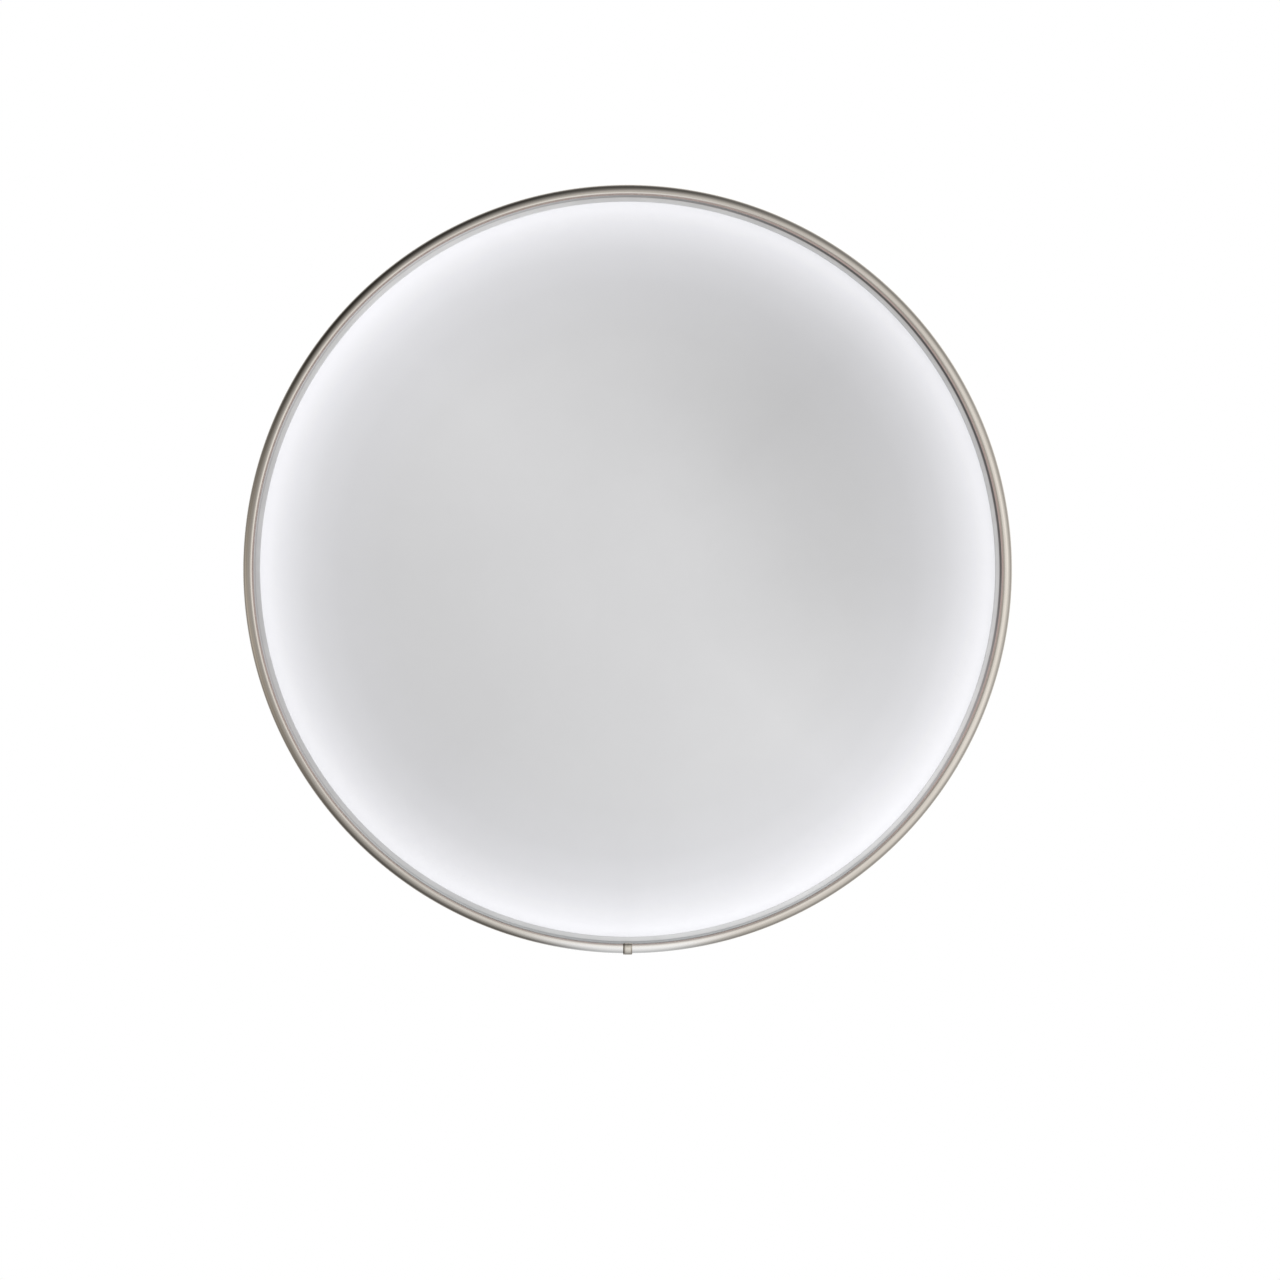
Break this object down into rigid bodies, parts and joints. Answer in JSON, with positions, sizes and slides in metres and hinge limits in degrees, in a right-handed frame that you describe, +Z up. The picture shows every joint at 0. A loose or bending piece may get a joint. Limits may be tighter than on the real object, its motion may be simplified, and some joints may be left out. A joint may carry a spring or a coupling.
{
  "type": "round lighted advertising sign",
  "caption": "Round wall-hung light-up sign: a blank opal face lit from its rim under convex glass, clamped to a steel can by a split metal hoop with a joint sleeve.",
  "frame": {"origin": "centre of the can's flat back, on the wall", "axes": "front faces -Y, +Y points into the wall, +X is to the viewer's right, +Z is up"},
  "size_m": [0.381, 0.076, 0.3815],
  "materials": {
    "can_paint": "satin powder coat, light grey white",
    "hoop_nickel": "satin warm nickel plate",
    "splice_steel": "bare strip steel",
    "lens_glass": "clear, polished",
    "gasket_silicone": "light grey silicone, matt",
    "face_opal": "opal white acrylic, satin",
    "strip_flex": "white solder resist",
    "led_resin": "phosphor resin in a white cup",
    "chip_black": "fired ceramic chip",
    "solder": "bright solder",
    "jack_plastic": "moulded black",
    "plated_brass": "nickel plated",
    "zinc_steel": "bright zinc plate",
    "rivet_aluminium": "as drawn",
    "switch_nylon": "moulded black, fine texture",
    "rocker_nylon": "moulded black, semi gloss",
    "spring_steel": "spring wire",
    "contact_copper": "copper alloy",
    "wire_red": "PVC insulation",
    "wire_white": "PVC insulation",
    "wire_black": "PVC insulation",
    "saddle_nylon": "natural nylon",
    "shrink_black": "heat-shrink tube"
  },
  "bodies": {
    "sign": {"can_back": "can_paint", "can_band": "can_paint", "can_rivets": "rivet_aluminium", "hanger_plate": "zinc_steel", "hanger_rivets": "rivet_aluminium", "clamp_hoop": "hoop_nickel", "hoop_splice": "splice_steel", "glass_lens": "lens_glass", "lens_gasket": "gasket_silicone", "face_panel": "face_opal", "led_flex_strip": "strip_flex", "led_packages": "led_resin", "strip_resistors": "chip_black", "strip_solder_pads": "solder", "dc_jack_body": "jack_plastic", "dc_jack_pin": "plated_brass", "dc_jack_terminals": "plated_brass", "dc_jack_washer": "zinc_steel", "dc_jack_nut": "plated_brass", "switch_housing": "switch_nylon", "switch_terminals": "contact_copper", "wire_jack_to_switch": "wire_red", "wire_switch_to_strip": "wire_white", "wire_jack_to_strip": "wire_black", "wire_saddle": "saddle_nylon", "shrink_tubes": "shrink_black"},
    "sleeve": {"hoop_sleeve": "hoop_nickel"},
    "rocker": {"switch_rocker": "rocker_nylon", "switch_plunger": "saddle_nylon", "switch_spring": "spring_steel"},
    "contact_arm": {"switch_contact_arm": "contact_copper"}
  },
  "joints": [
    {"name": "sleeve_slide", "type": "hinge", "parent": "sign", "child": "sleeve", "pos_m": [0, -0.0577, 0], "axis": [0, 1, 0], "range_deg": [-6, 6]},
    {"name": "rocker_press", "type": "hinge", "parent": "sign", "child": "rocker", "pos_m": [0.04355, -0.022, -0.17465], "axis": [0, 1, 0], "range_deg": [0, 18]},
    {"name": "contact_tilt", "type": "hinge", "parent": "sign", "child": "contact_arm", "pos_m": [0.0418, -0.022, -0.16767], "axis": [0, 1, 0], "range_deg": [-12, 0]}
  ],
  "couplings": [
    {"joint": "contact_tilt", "follows": "rocker_press", "ratio": -0.66667}
  ]
}
